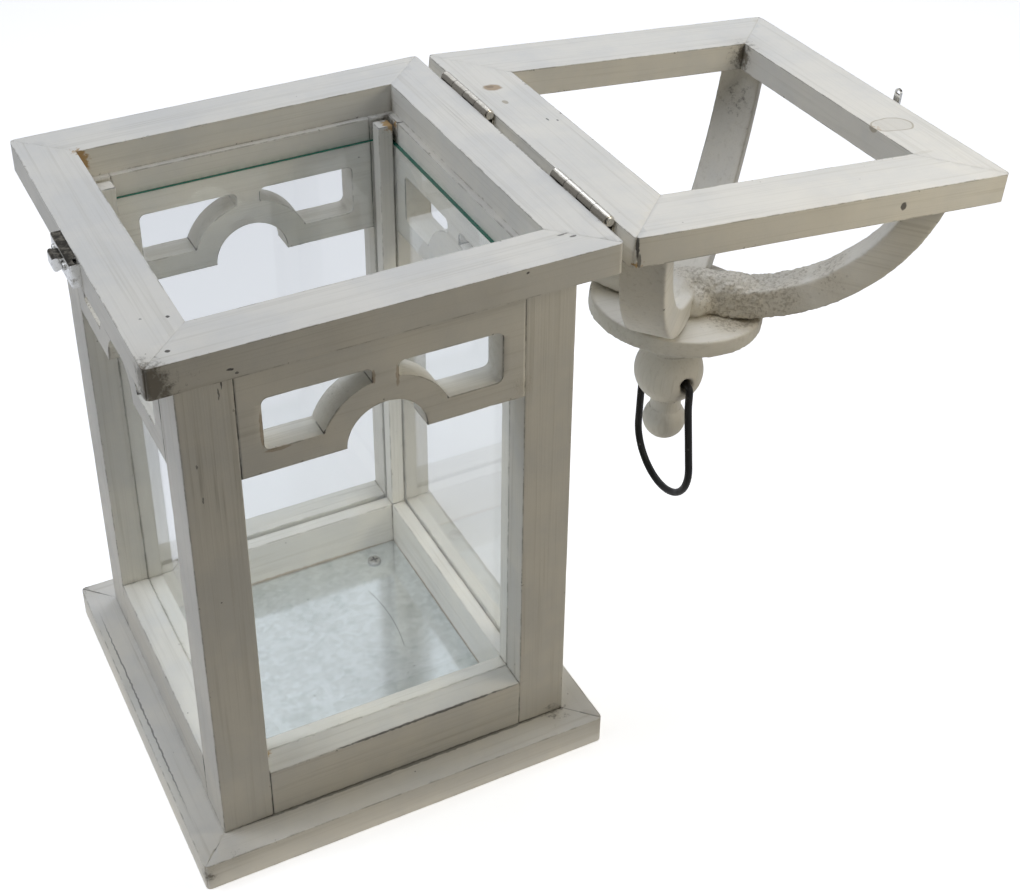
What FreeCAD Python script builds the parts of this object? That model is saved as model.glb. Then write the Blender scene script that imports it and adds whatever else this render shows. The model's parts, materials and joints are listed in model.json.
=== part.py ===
"""Hanging lantern: square glazed wooden body, hinged lid with four curved arms, finial and hanging ring.

Millimetres. Origin at the centre of the base's underside, +Z up, front face towards -Y,
hinges on the +X side. The lid is built open, tipped a little past flat, as it rests.
"""
import FreeCAD, Part
import math
import os

V = FreeCAD.Vector
UP = V(0, 0, 1)
ALONG_Y = V(0, 1, 0)
SIDES = ("front", "right", "back", "left")
CORNERS = ("front_right", "back_right", "back_left", "front_left")
QUARTER = 90.0

# Lantern body
base_side, base_thickness, base_width = 202.0, 15.0, 40.0
frame_side, frame_thickness, frame_width = 200.0, 14.0, 24.0
frame_top = 282.0
frame_bottom = frame_top - frame_thickness
body_side, post_width, wall_thickness = 173.0, 23.5, 13.5
body_half = body_side / 2
glass_outer = body_half - wall_thickness
opening_half = body_half - post_width
bottom_rail_top = 42.0

# Fret boards: an arch open at the lower edge, with a window each side of it
fret_bottom = 209.5
arch_radius, arch_rib_radius = 17.9, 29.5
window_inner, window_outer = 5.75, 52.6
window_bottom, window_top = 220.3, 245.2
window_corner = 3.0

# Glass and what holds it
glass_thickness, glass_width, glass_top = 2.0, 141.0, 257.0
ledge_half, ledge_thickness, ledge_top = 70.8, 7.3, 40.5
bead_width, bead_top = 7.3, 267.0
sheet_side, sheet_thickness = 126.6, 0.6

# Floor screws
floor_screw_x, floor_screw_y = 47.0, 52.0
floor_head_radius, floor_head_height = 3.5, 1.5
floor_shank_radius, floor_shank_depth = 1.5, 10.0
recess_width, recess_depth = 0.8, 0.8
# Shares of a screw head: its rounding of its height, its cross recess of its radius
head_round_share, recess_reach_share = 0.6, 0.62

# Hinges: two butt hinges on the side faces, knuckles standing half above the frame
hinge_x, hinge_z = 102.83, 282.15
barrel_radius, pin_radius, bore_radius = 2.5, 1.1, 1.15
hinge_length, knuckle_count, knuckle_gap = 46.0, 4, 0.3
hinge_centres = {"front": -59.5, "back": 49.0}
leaf_thickness, leaf_drop = 1.0, 12.0
leaf_top_drop = barrel_radius + 0.3
leaf_screw_drop, leaf_screw_spread = 7.2, 15.0
small_head_radius, small_head_height = 2.4, 1.2
small_shank_radius, small_shank_length = 1.1, 11.0
pin_head_radius, pin_head_height = 1.87, 1.0

# Lid, in its own frame: x runs out from the hinge axis, -z is down from the mating face
lid_tilt = 5.29
lid_side, lid_width, lid_thickness = 198.0, 31.0, 14.0
lid_gap, lid_face = 2.83, 0.15
lid_centre = lid_gap + lid_side / 2
lid_under = lid_face + lid_thickness

# Arms: flat curved boards in the lid's diagonal planes. Each arc is its centre's distance out from
# the lid's centre, its centre's depth below the hinge axis, and its radius.
arm_width = 21.0
arm_outer_arc = (8.8, -9.0, 111.3)
arm_inner_arc = (4.5, -13.0, 101.6)
disc_radius, disc_top, disc_thickness = 43.6, 101.0, 9.0
disc_bottom = disc_top + disc_thickness

# Finial: collar, large ball with the ring's hole, neck, small ball
collar_radius, collar_height = 12.6, 3.0
ball_radius, ball_depth = 17.8, 144.0
tip_radius, tip_depth = 11.2, 174.6
finial_neck_radius, finial_lean = 8.0, 3.9
dowel_radius, dowel_top, dowel_bottom = 4.0, 93.0, 130.0
ring_hole_radius, hole_mouth_radius, hole_mouth_length = 2.55, 6.24, 4.16
hole_mouth_depth = 2.6

# Hanging ring: one bent wire
wire_radius = 1.95
ring_front_shoulder, ring_back_shoulder, ring_shoulder_bend = 20.1, 23.8, 2.8
ring_waist_drop, ring_waist_bend = 13.0, 45.0
ring_bow_drop, ring_bow_radius = 50.6, 25.0

# Latch on the side opposite the hinges
latch_near, latch_far = -17.2, 12.3
latch_bottom, latch_top, latch_depth, latch_wall = 271.0, 281.5, 4.4, 0.6
latch_round = 0.8
lever_pivot_x, lever_pivot_z = -102.4, 272.9
lever_pin_radius, lever_bore_radius, lever_knuckle_radius = 0.6, 0.65, 1.0
lever_near, lever_far, lever_top, lever_inner, lever_outer = -16.2, 3.0, 280.3, -101.9, -102.5
knob_y, knob_width, knob_reach, knob_neck, knob_round = -2.0, 9.0, -108.6, -105.2, 1.3
knob_low, knob_high, neck_low, neck_high = 273.4, 280.6, 274.6, 279.4
nose_width, nose_reach, nose_low, nose_high = 2.4, -100.9, 278.3, 279.4
window_margin, slot_margin, slot_depth = 0.3, 0.4, 1.9
latch_screw_places, latch_screw_z, lever_screw_room = (-8.6, 7.5), 277.0, 2.2
spring_inner, spring_outer, spring_length, spring_leg = 0.72, 0.95, 2.4, 6.0
spring_wire_radius, spring_gap = 0.2, 0.4
latch_head_radius, latch_head_height = 1.68, 0.84

# Hook plate on the lid that drops into the latch
hook_y, hook_width, hook_thickness, hook_tip = -14.0, 4.4, 1.2, 5.2
hook_offset = 2.3
flange_width, flange_thickness, flange_low, flange_high = 20.0, 1.0, 3.0, 12.5
hook_eye_width, hook_eye_near, hook_eye_far = 3.0, 2.3, 4.3
hook_screw_offset, hook_screw_drop, hook_head_radius = 6.5, 7.8, 1.92

# Nails, punched below the surface and filled
nail_radius = 1.2
nail_inset, nail_offset = 81.0, 77.0
base_nail_low, base_nail_high = 2.0, 45.0
frame_nail_low, frame_nail_high = 240.0, 280.0
lid_nail_s, lid_nail_offset, lid_nail_top, lid_nail_bottom = 110.0, 5.0, 2.0, 28.0


def block(x0, x1, y0, y1, z0, z1):
    return Part.makeBox(x1 - x0, y1 - y0, z1 - z0, V(x0, y0, z0))


def rod(radius, start, end):
    return Part.makeCylinder(radius, (end - start).Length, start, end - start)


def prism(points, depth):
    """A closed polygon of vectors, extruded along the vector depth."""
    return Part.Face(Part.makePolygon(points + points[:1])).extrude(depth)


def turned(shape, quarter):
    """A copy of the shape, turned about the vertical axis by a number of quarter turns."""
    copy = shape.copy()
    copy.rotate(V(0, 0, 0), UP, quarter * QUARTER)
    return copy


def cut_all(shape, tools):
    for tool in tools:
        shape = shape.cut(tool)
    return shape


def mitred_rail(side, width, z0, z1):
    """The front one of four rails that make a square frame with mitred corners."""
    half = side / 2
    inner = half - width
    outline = [V(-half, -half, z0), V(half, -half, z0), V(inner, -inner, z0), V(-inner, -inner, z0)]
    return prism(outline, V(0, 0, z1 - z0))


def screw(head_radius, head_height, shank_radius, shank_length):
    """A cross-head screw standing on the origin: head above, shank below."""
    head = Part.makeCylinder(head_radius, head_height)
    head = head.makeFillet(head_height * head_round_share, [head.Edges[0]])
    shank = rod(shank_radius, V(0, 0, 0), V(0, 0, -shank_length))
    reach = head_radius * recess_reach_share
    for along, across in ((reach, recess_width / 2), (recess_width / 2, reach)):
        low = head_height - recess_depth
        head = head.cut(block(-along, along, -across, across, low, head_height))
    return head.fuse(shank).removeSplitter()


def aimed(shape, direction, place):
    """The shape, with its +Z turned to the direction and its origin moved to the place."""
    copy = shape.copy()
    copy.Placement = FreeCAD.Placement(place, FreeCAD.Rotation(UP, direction))
    return copy


def floor_screws():
    one = screw(floor_head_radius, floor_head_height, floor_shank_radius, floor_shank_depth)
    level = base_thickness + sheet_thickness
    return [aimed(one, UP, V(sx * floor_screw_x, sy * floor_screw_y, level))
            for sx in (-1, 1) for sy in (-1, 1)]


def hinge_screws(face_x, outward, z_of_axis):
    """Screws of both hinges on a side face: face_x is the leaf's outer face."""
    one = screw(small_head_radius, small_head_height, small_shank_radius, small_shank_length)
    found = []
    for centre in hinge_centres.values():
        for side in (-1, 1):
            place = V(face_x, centre + side * leaf_screw_spread, z_of_axis - leaf_screw_drop)
            found.append(aimed(one, V(outward, 0, 0), place))
    return found


def latch_screws():
    one = screw(latch_head_radius, latch_head_height, small_shank_radius, small_shank_length)
    front = -frame_side / 2 - latch_depth
    return [aimed(one, V(-1, 0, 0), V(front, y, latch_screw_z)) for y in latch_screw_places]


def hook_screws():
    one = screw(hook_head_radius, small_head_height, small_shank_radius, small_shank_length)
    face = lid_gap + lid_side + flange_thickness
    return [aimed(one, V(1, 0, 0), V(face, hook_y + side * hook_screw_offset, -hook_screw_drop))
            for side in (-1, 1)]


def carcass_nails():
    spans = ((base_nail_low, base_nail_high), (frame_nail_low, frame_nail_high))
    return [turned(rod(nail_radius, V(nail_inset, nail_offset, low), V(nail_inset, nail_offset, high)), q)
            for low, high in spans for q in range(4)]


def lid_nails():
    found = []
    for quarter in range(4):
        for side in (-1, 1):
            top = V(lid_nail_s, side * lid_nail_offset, -lid_nail_top)
            nail = rod(nail_radius, top, top - V(0, 0, lid_nail_bottom - lid_nail_top))
            nail.rotate(V(0, 0, 0), UP, quarter * QUARTER - QUARTER / 2)
            nail.translate(V(lid_centre, 0, 0))
            found.append(nail)
    return found


def posts(nails):
    """Four corner posts, rebated on the inner corner for the glass."""
    plain = block(opening_half, body_half, -body_half, -opening_half, base_thickness, frame_bottom)
    rebate = block(opening_half, glass_outer, -glass_outer, -opening_half, base_thickness, frame_bottom)
    post = plain.cut(rebate)
    return {"post_" + name: cut_all(turned(post, q), nails) for q, name in enumerate(CORNERS)}


def fret_board():
    board = block(-opening_half, opening_half, -body_half, -glass_outer, fret_bottom, frame_bottom)
    centre = V(0, -body_half, fret_bottom)
    through = V(0, wall_thickness, 0)
    board = board.cut(rod(arch_radius, centre, centre + through))
    rib = rod(arch_rib_radius, centre, centre + through)
    window = block(window_inner, window_outer, -body_half, -glass_outer, window_bottom, window_top)
    rounded = [edge for edge in window.Edges if is_window_corner(edge)]
    window = window.makeFillet(window_corner, rounded).cut(rib)
    mirrored = window.mirror(V(0, 0, 0), V(1, 0, 0))
    return board.cut(window).cut(mirrored)


def is_window_corner(edge):
    """True for the edges through the board, apart from the one that the arch's rib cuts off."""
    ends = [vertex.Point for vertex in edge.Vertexes]
    through = abs(ends[0].y - ends[1].y) > wall_thickness / 2
    at_rib = ends[0].x < window_outer - 1 and ends[0].z < window_top - 1
    return through and not at_rib


def corner_bead():
    inner = ledge_half - bead_width
    return block(inner, ledge_half, -ledge_half, -inner, ledge_top, bead_top)


def glass_pane():
    half = glass_width / 2
    return block(-half, half, -glass_outer, -glass_outer + glass_thickness, base_thickness, glass_top)


def base_panel(fasteners):
    """The board inside the mitred base boards, which the floor sheet is screwed to."""
    half = base_side / 2 - base_width
    return cut_all(block(-half, half, -half, half, 0, base_thickness), fasteners)


def floor_sheet(fasteners):
    half = sheet_side / 2
    sheet = block(-half, half, -half, half, base_thickness, base_thickness + sheet_thickness)
    return cut_all(sheet, fasteners)


def knuckle_spans(centre, first):
    """Start and end of every second knuckle along the hinge, from number first."""
    pitch = hinge_length / knuckle_count
    start = centre - hinge_length / 2
    return [(start + k * pitch + knuckle_gap / 2, start + (k + 1) * pitch - knuckle_gap / 2)
            for k in range(first, knuckle_count, 2)]


def hinge_leaf(centre, first, face, outward, fasteners):
    """A leaf about the hinge axis at x = z = 0, flat on the side face at x = face."""
    x0, x1 = sorted((face, face + outward * leaf_thickness))
    half = hinge_length / 2
    leaf = block(x0, x1, centre - half, centre + half, -leaf_drop, -leaf_top_drop)
    for start, end in knuckle_spans(centre, first):
        tab = block(x0, x1, start, end, -leaf_top_drop, 0)
        barrel = rod(barrel_radius, V(0, start, 0), V(0, end, 0))
        leaf = leaf.fuse(tab).fuse(barrel)
        leaf = leaf.cut(rod(bore_radius, V(0, start, 0), V(0, end, 0)))
    return cut_all(leaf.removeSplitter(), fasteners)


def hinge_pins():
    pins = []
    for centre in hinge_centres.values():
        half = hinge_length / 2
        pin = rod(pin_radius, V(hinge_x, centre - half, hinge_z), V(hinge_x, centre + half, hinge_z))
        head = rod(pin_head_radius, V(hinge_x, centre - half - pin_head_height, hinge_z),
                   V(hinge_x, centre - half, hinge_z))
        pins.append(pin.fuse(head).removeSplitter())
    return pins


def latch_body(fasteners):
    """A pressed box with an open back, a window for the lever's knob and a slot for the hook."""
    back, front = -frame_side / 2, -frame_side / 2 - latch_depth
    case = block(front, back, latch_near, latch_far, latch_bottom, latch_top)
    outer_edges = [edge for edge in case.Edges if all(v.X < back - 1 for v in edge.Vertexes)]
    case = case.makeFillet(latch_round, outer_edges)
    inside = block(front + latch_wall, back, latch_near + latch_wall, latch_far - latch_wall,
                   latch_bottom + latch_wall, latch_top - latch_wall)
    knob_room = knob_width / 2 + window_margin
    window = block(front, front + latch_wall, knob_y - knob_room, knob_y + knob_room,
                   neck_low - 2 * window_margin, neck_high + window_margin)
    hook_room = hook_width / 2 + slot_margin
    slot = block(back - slot_depth, back, hook_y - hook_room, hook_y + hook_room,
                 latch_top - latch_wall, latch_top)
    return cut_all(case, [inside, window, slot] + fasteners)


def latch_pin():
    return rod(lever_pin_radius, V(lever_pivot_x, latch_near + latch_wall, lever_pivot_z),
               V(lever_pivot_x, latch_far - latch_wall, lever_pivot_z))


def latch_spring():
    """The return spring: its coil round the pin beside the lever, and its fixed leg."""
    start = lever_far + spring_gap
    low, high = V(lever_pivot_x, start, lever_pivot_z), V(lever_pivot_x, start + spring_length, lever_pivot_z)
    leg_y = start + spring_length / 2
    leg_x = lever_pivot_x - spring_outer + spring_wire_radius
    leg = rod(spring_wire_radius, V(leg_x, leg_y, lever_pivot_z), V(leg_x, leg_y, lever_pivot_z + spring_leg))
    return rod(spring_outer, low, high).fuse(leg).cut(rod(spring_inner, low, high))


def latch_lever():
    """A plate on the pin, with a knob that stands out of the box and a nose that holds the hook."""
    low, high = V(lever_pivot_x, lever_near, lever_pivot_z), V(lever_pivot_x, lever_far, lever_pivot_z)
    plate = block(lever_outer, lever_inner, lever_near, lever_far, lever_pivot_z, lever_top)
    screw_y = latch_screw_places[0]
    screw_room = rod(lever_screw_room, V(lever_outer, screw_y, latch_screw_z),
                     V(lever_inner, screw_y, latch_screw_z))
    plate = plate.cut(screw_room)
    k0 = knob_y - knob_width / 2
    outline = [V(lever_outer, k0, neck_low), V(knob_neck, k0, neck_low), V(knob_reach, k0, knob_low),
               V(knob_reach, k0, knob_high), V(knob_neck, k0, neck_high), V(lever_outer, k0, neck_high)]
    knob = prism(outline, V(0, knob_width, 0))
    rims = [edge for edge in knob.Edges if all(v.X < knob_reach + 0.1 for v in edge.Vertexes)]
    knob = knob.makeFillet(knob_round, rims)
    nose = block(lever_inner, nose_reach, hook_y - nose_width / 2, hook_y + nose_width / 2,
                 nose_low, nose_high)
    lever = plate.fuse(rod(lever_knuckle_radius, low, high)).fuse(knob).fuse(nose)
    return lever.cut(rod(lever_bore_radius, low, high)).removeSplitter()


def latch_hook(fasteners):
    """A flanged plate on the lid's outer side face; its tongue stands past the mating face."""
    face = lid_gap + lid_side
    half = flange_width / 2
    flange = block(face, face + flange_thickness, hook_y - half, hook_y + half, -flange_high, -flange_low)
    y0, y1 = hook_y - hook_width / 2, hook_y + hook_width / 2
    near, far = face + hook_offset, face + hook_offset + hook_thickness
    step = block(face, far, y0, y1, -flange_low - hook_thickness, -flange_low)
    round_centre = hook_tip - hook_width / 2
    tongue = block(near, far, y0, y1, -flange_low, round_centre)
    tip = rod(hook_width / 2, V(near, hook_y, round_centre), V(far, hook_y, round_centre))
    eye = block(near, far, hook_y - hook_eye_width / 2, hook_y + hook_eye_width / 2,
                hook_eye_near, hook_eye_far)
    hook = flange.fuse(step).fuse(tongue).fuse(tip).cut(eye).removeSplitter()
    return cut_all(hook, fasteners)


def arc_point(s_centre, d_centre, radius, depth):
    """Where an arm's arc reaches a depth: its distance out from the lid's centre."""
    return s_centre + math.sqrt(radius ** 2 - (depth - d_centre) ** 2)


def arc_depth(s_centre, d_centre, radius, s):
    return d_centre + math.sqrt(radius ** 2 - (s - s_centre) ** 2)


def arm_edge(s_centre, d_centre, radius, start, end):
    """An arc of the arm's outline between two points given as (s, depth)."""
    middle_s = (start[0] + end[0]) / 2
    middle = (middle_s, arc_depth(s_centre, d_centre, radius, middle_s))
    points = [V(s, 0, -d) for s, d in (start, middle, end)]
    return Part.Arc(*points).toShape()


def arm():
    """One arm, in the plane y = 0, from the lid's underside down to the disc's top."""
    outer, inner = arm_outer_arc, arm_inner_arc
    outer_start = (arc_point(*outer, lid_under), lid_under)
    outer_end = (arc_point(*outer, disc_top), disc_top)
    inner_start = (arc_point(*inner, lid_under), lid_under)
    inner_end = (0.0, arc_depth(*inner, 0.0))
    corners = [V(s, 0, -d) for s, d in (outer_end, (0.0, disc_top), inner_end)]
    edges = [arm_edge(*outer, outer_start, outer_end),
             Part.makeLine(corners[0], corners[1]), Part.makeLine(corners[1], corners[2]),
             arm_edge(*inner, inner_end, inner_start),
             Part.makeLine(V(inner_start[0], 0, -lid_under), V(outer_start[0], 0, -lid_under))]
    board = Part.Face(Part.Wire(edges)).extrude(V(0, arm_width, 0))
    board.translate(V(0, -arm_width / 2, 0))
    reach = lid_side
    mitre = prism([V(0, 0, -disc_bottom), V(reach, -reach, -disc_bottom), V(reach, reach, -disc_bottom)],
                  V(0, 0, disc_bottom))
    return board.common(mitre)


def arms(fasteners):
    found = {}
    for quarter, name in enumerate(("front_outer", "back_outer", "back_hinge", "front_hinge")):
        piece = arm()
        piece.rotate(V(0, 0, 0), UP, quarter * QUARTER - QUARTER / 2)
        piece.translate(V(lid_centre, 0, 0))
        found["arm_" + name] = cut_all(piece, fasteners)
    return found


def lid_rails(fasteners):
    rail = mitred_rail(lid_side, lid_width, -lid_under, -lid_face)
    found = {}
    for quarter, name in enumerate(("front", "outer", "back", "hinge")):
        piece = turned(rail, quarter)
        piece.translate(V(lid_centre, 0, 0))
        found["lid_rail_" + name] = cut_all(piece, fasteners)
    return found


def on_lid_axis(radius, top, bottom):
    return rod(radius, V(lid_centre, 0, -top), V(lid_centre, 0, -bottom))


def crown_disc(dowel):
    return on_lid_axis(disc_radius, disc_top, disc_bottom).cut(dowel)


def finial_shape():
    """Collar, large ball, neck and small ball, bored across for the ring, on the lid's axis."""
    collar = on_lid_axis(collar_radius, disc_bottom - collar_height, disc_bottom + collar_height)
    neck = on_lid_axis(collar_radius - 1.0, disc_bottom, ball_depth)
    waist = on_lid_axis(finial_neck_radius, ball_depth, tip_depth)
    ball = Part.makeSphere(ball_radius, V(lid_centre, 0, -ball_depth))
    tip = Part.makeSphere(tip_radius, V(lid_centre, 0, -tip_depth))
    shape = collar.fuse(neck).fuse(waist).fuse(ball).fuse(tip)
    reach = V(0, ball_radius + 1, 0)
    centre = V(lid_centre, 0, -ball_depth)
    shape = shape.cut(rod(ring_hole_radius, centre - reach, centre + reach))
    for side in (-1, 1):
        mouth_start = centre + V(0, side * (ball_radius - hole_mouth_depth), 0)
        mouth = Part.makeCone(ring_hole_radius, hole_mouth_radius, hole_mouth_length,
                              mouth_start, V(0, side, 0))
        shape = shape.cut(mouth)
    return shape


def finial(dowel):
    """The finial, set a little crooked under the disc, with its collar cut off at the disc's face."""
    shape = finial_shape()
    shape.rotate(V(lid_centre, 0, -disc_bottom), ALONG_Y, -finial_lean)
    return cut_all(shape, [on_lid_axis(disc_radius, disc_top, disc_bottom), dowel]).removeSplitter()


def ball_centre():
    """The ring hole's centre in the row's frame."""
    lean, tilt = math.radians(finial_lean), math.radians(lid_tilt)
    drop = ball_depth - disc_bottom
    out = lid_centre + drop * math.sin(lean)
    down = disc_bottom + drop * math.cos(lean)
    return V(hinge_x + out * math.cos(tilt) - down * math.sin(tilt), 0,
             hinge_z - out * math.sin(tilt) - down * math.cos(tilt))


def rounded_corner(before, corner, after, radius):
    """The arc that rounds a corner between two straight runs: its start, middle and end."""
    to_before = (before - corner).normalize()
    to_after = (after - corner).normalize()
    half_angle = to_before.getAngle(to_after) / 2
    setback = radius / math.tan(half_angle)
    start, end = corner + to_before * setback, corner + to_after * setback
    bisector = (to_before + to_after).normalize()
    middle = corner + bisector * (radius / math.sin(half_angle) - radius)
    return start, middle, end


def ring_tangent(waist_y):
    """Where a line from the waist touches the bow's circle."""
    dy, dz = waist_y, ring_bow_drop - ring_waist_drop
    distance = math.hypot(dy, dz)
    to_waist = math.atan2(dz, dy)
    angle = to_waist - math.acos(ring_bow_radius / distance)
    return ring_bow_radius * math.cos(angle), ring_bow_drop - ring_bow_radius * math.sin(angle)


def ring_half(reach):
    """One half of the ring on the +Y side, hanging from the centre of its hole at the origin."""
    hole = V(0, 0, 0)
    shoulder = V(0, reach, 0)
    waist = V(0, reach, -ring_waist_drop)
    bow_y, bow_drop = ring_tangent(reach)
    bow = V(0, bow_y, -bow_drop)
    a0, a1, a2 = rounded_corner(hole, shoulder, waist, ring_shoulder_bend)
    b0, b1, b2 = rounded_corner(shoulder, waist, bow, ring_waist_bend)
    bottom = V(0, 0, -ring_bow_drop - ring_bow_radius)
    low = math.sin(math.pi / 4) * ring_bow_radius
    bow_middle = V(0, low, -ring_bow_drop - low)
    edges = [Part.makeLine(hole, a0), Part.Arc(a0, a1, a2).toShape(), Part.makeLine(a2, b0),
             Part.Arc(b0, b1, b2).toShape(), Part.makeLine(b2, bow), Part.Arc(bow, bow_middle, bottom).toShape()]
    section = Part.Wire(Part.makeCircle(wire_radius, hole, ALONG_Y))
    return Part.Wire(edges).makePipeShell([section], True, False)


def ring(centre):
    """The ring, bent by hand: its back shoulder stands further out than its front one."""
    back = ring_half(ring_back_shoulder)
    front = ring_half(ring_front_shoulder).mirror(V(0, 0, 0), ALONG_Y)
    whole = back.fuse(front).removeSplitter()
    whole.translate(centre)
    return whole


def placed_on_body(shape):
    """From the lid's own frame to the row's: tipped about the hinge axis, then moved to it."""
    copy = shape.copy()
    copy.rotate(V(0, 0, 0), ALONG_Y, lid_tilt)
    copy.translate(V(hinge_x, 0, hinge_z))
    return copy


def body_pieces():
    nails = carcass_nails()
    screws = floor_screws()
    leaf_face = frame_side / 2 + leaf_thickness
    hardware = hinge_screws(leaf_face, 1, hinge_z) + latch_screws()
    base = mitred_rail(base_side, base_width, 0, base_thickness)
    rail = block(-opening_half, opening_half, -body_half, -glass_outer, base_thickness, bottom_rail_top)
    ledge = mitred_rail(2 * ledge_half, ledge_thickness, base_thickness, ledge_top)
    top = mitred_rail(frame_side, frame_width, frame_bottom, frame_top)
    fret = fret_board()
    pieces = {"base_panel": base_panel(screws), "floor_sheet": floor_sheet(screws)}
    for quarter, name in enumerate(SIDES):
        pieces["base_board_" + name] = cut_all(turned(base, quarter), nails)
        pieces["bottom_rail_" + name] = turned(rail, quarter)
        pieces["fret_" + name] = turned(fret, quarter)
        pieces["inner_ledge_" + name] = turned(ledge, quarter)
        pieces["glass_" + name] = turned(glass_pane(), quarter)
        pieces["top_rail_" + name] = cut_all(turned(top, quarter), nails + hardware)
    for quarter, name in enumerate(CORNERS):
        pieces["corner_bead_" + name] = turned(corner_bead(), quarter)
    pieces.update(posts(nails))
    for name, centre in hinge_centres.items():
        at_axis = [moved(item, V(-hinge_x, 0, -hinge_z)) for item in hardware]
        leaf = hinge_leaf(centre, 0, frame_side / 2 - hinge_x, 1, at_axis)
        pieces["hinge_leaf_frame_" + name] = moved(leaf, V(hinge_x, 0, hinge_z))
    pieces["hinge_pins"] = Part.makeCompound(hinge_pins())
    pieces["body_screws"] = Part.makeCompound(screws + hardware)
    pieces["carcass_nails"] = Part.makeCompound(nails)
    pieces["latch_body"] = latch_body(latch_screws())
    pieces["latch_pin"] = latch_pin()
    pieces["latch_spring"] = latch_spring()
    pieces["latch_lever"] = latch_lever()
    return pieces


def moved(shape, step):
    copy = shape.copy()
    copy.translate(step)
    return copy


def lid_pieces():
    """Every piece of the lid, in the lid's own frame."""
    nails = lid_nails()
    hardware = hinge_screws(lid_gap - leaf_thickness, -1, 0) + hook_screws()
    dowel = on_lid_axis(dowel_radius, dowel_top, dowel_bottom)
    pieces = {"latch_hook": latch_hook(hook_screws())}
    pieces.update(lid_rails(nails + hardware))
    pieces.update(arms(nails + [dowel]))
    for name, centre in hinge_centres.items():
        pieces["hinge_leaf_lid_" + name] = hinge_leaf(centre, 1, lid_gap, -1, hardware)
    pieces["crown_disc"] = crown_disc(dowel)
    pieces["finial"] = finial(dowel)
    pieces["finial_dowel"] = dowel
    pieces["lid_screws"] = Part.makeCompound(hardware)
    pieces["lid_nails"] = Part.makeCompound(nails)
    return pieces


def main():
    os.makedirs("parts", exist_ok=True)
    pieces = body_pieces()
    for name, shape in lid_pieces().items():
        pieces[name] = placed_on_body(shape)
    pieces["ring"] = ring(ball_centre())
    print("ring hole centre", ball_centre())
    for name, shape in pieces.items():
        print(name, shape.isValid(), len(shape.Solids), round(shape.Volume, 1))
        shape.exportStep("parts/" + name + ".step")
    print(len(pieces), "nodes")


main()
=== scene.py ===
"""Looks for the hanging lantern: worn off-white paint on wood, glass, galvanised sheet, nickel and wire."""

import json
import math

import bmesh
import bpy
import numpy as np
from mathutils import Matrix, Quaternion, Vector, noise


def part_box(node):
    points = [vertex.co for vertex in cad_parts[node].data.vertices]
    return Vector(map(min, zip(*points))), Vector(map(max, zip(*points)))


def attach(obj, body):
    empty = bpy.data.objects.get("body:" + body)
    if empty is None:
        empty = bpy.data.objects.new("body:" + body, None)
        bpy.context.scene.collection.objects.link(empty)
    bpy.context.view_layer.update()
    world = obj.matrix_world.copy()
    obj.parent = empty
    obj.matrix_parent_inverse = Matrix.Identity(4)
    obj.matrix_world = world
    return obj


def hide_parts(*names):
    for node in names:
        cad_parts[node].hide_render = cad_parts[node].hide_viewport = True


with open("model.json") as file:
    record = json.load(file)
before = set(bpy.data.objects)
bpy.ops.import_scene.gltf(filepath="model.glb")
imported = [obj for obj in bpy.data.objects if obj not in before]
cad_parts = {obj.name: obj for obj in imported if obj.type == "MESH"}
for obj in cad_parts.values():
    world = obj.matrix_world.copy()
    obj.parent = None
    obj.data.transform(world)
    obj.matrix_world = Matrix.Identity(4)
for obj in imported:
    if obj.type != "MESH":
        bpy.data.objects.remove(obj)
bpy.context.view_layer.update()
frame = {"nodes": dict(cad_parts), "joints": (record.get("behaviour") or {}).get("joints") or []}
NODES = frame["nodes"]
MM = 0.001
SIDES = ("front", "right", "back", "left")
CORNERS = ("front_right", "back_right", "back_left", "front_left")
LID_SIDES = ("front", "outer", "back", "hinge")
LID_CORNERS = ("front_outer", "back_outer", "back_hinge", "front_hinge")


# ---------------------------------------------------------------- places taken from the frame

def joint(name):
    return next(j for j in frame["joints"] if j["name"] == name)


HINGE = Vector(joint("lid_hinge")["pos_m"])
CLOSED_TURN = math.radians(joint("lid_hinge")["range_deg"][1])
LID_TILT = CLOSED_TURN - math.pi
# From the hinge axis to the lid's middle, in metres: part.py's lid_gap and half of its lid_side.
LID_REACH = 0.10183
LID_AXES = Matrix.Translation(HINGE) @ Matrix.Rotation(LID_TILT, 4, "Y")
LID_CENTRE = LID_AXES @ Matrix.Translation((LID_REACH, 0, 0))


def quarter(k, offset=0.0):
    return Matrix.Rotation(math.radians(90 * k + offset), 4, "Z")


def lid_point(u, y, depth):
    """A point given in millimetres out from the hinge axis, along it, and below the mating face."""
    return LID_AXES @ Vector((u * MM, y * MM, -depth * MM))


def body_point(x, y, z):
    return Vector((x, y, z)) * MM
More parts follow.
